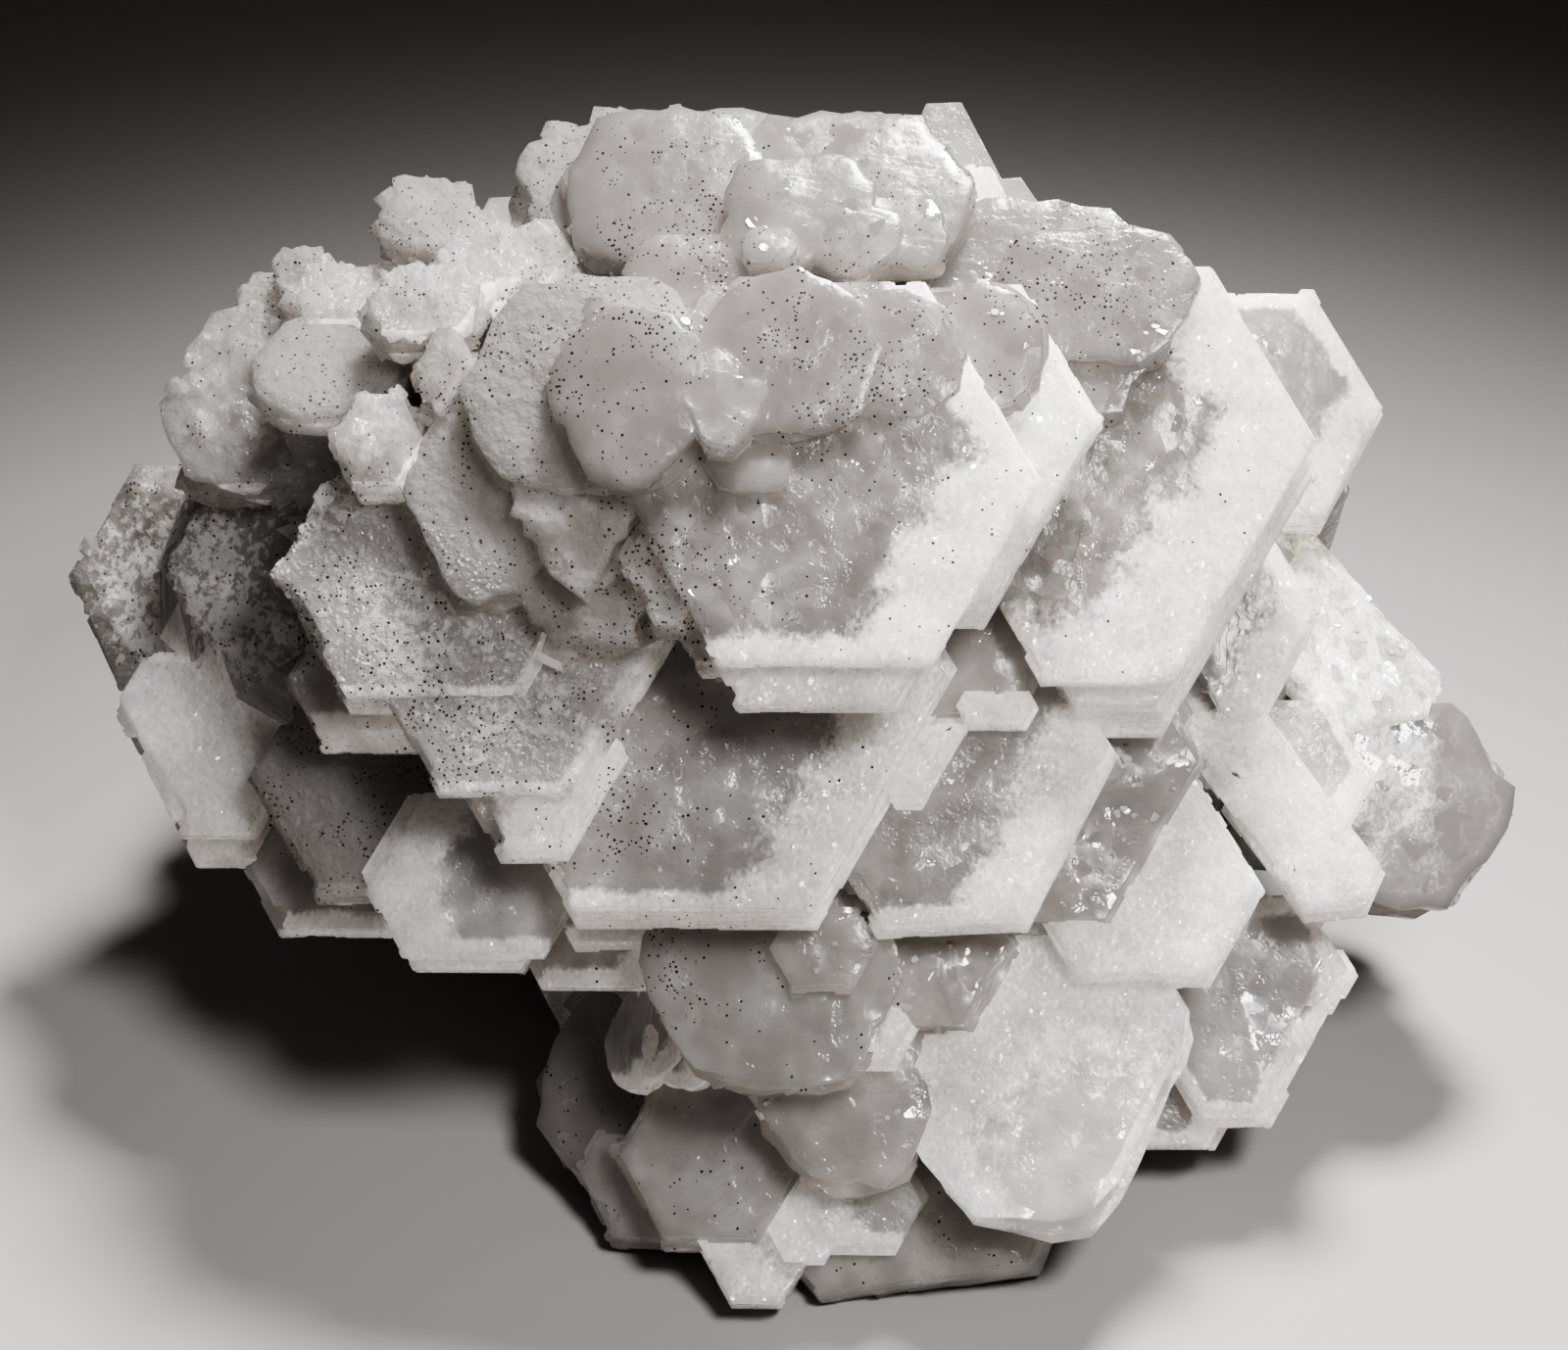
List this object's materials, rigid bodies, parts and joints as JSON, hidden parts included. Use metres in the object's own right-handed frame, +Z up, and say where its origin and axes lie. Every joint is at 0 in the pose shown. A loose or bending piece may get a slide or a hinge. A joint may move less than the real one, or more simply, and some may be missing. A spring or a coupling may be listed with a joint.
{
  "type": "poker chip calcite cluster",
  "caption": "Cluster of flat six-sided milky calcite plates stacked like chips, resting on a broken flat underside.",
  "frame": {"origin": "middle of the bounding box in plan, on the surface that the cluster rests on", "axes": "+Z up from the resting face, +X to the right along the longest way of the cluster, the plate faces look towards -Y and up"},
  "size_m": [0.1192, 0.0886, 0.0809],
  "materials": {
    "calcite": "milky calcite, frosted at the rims"
  },
  "bodies": {
    "root": {"calcite_cluster": "calcite"}
  },
  "joints": []
}
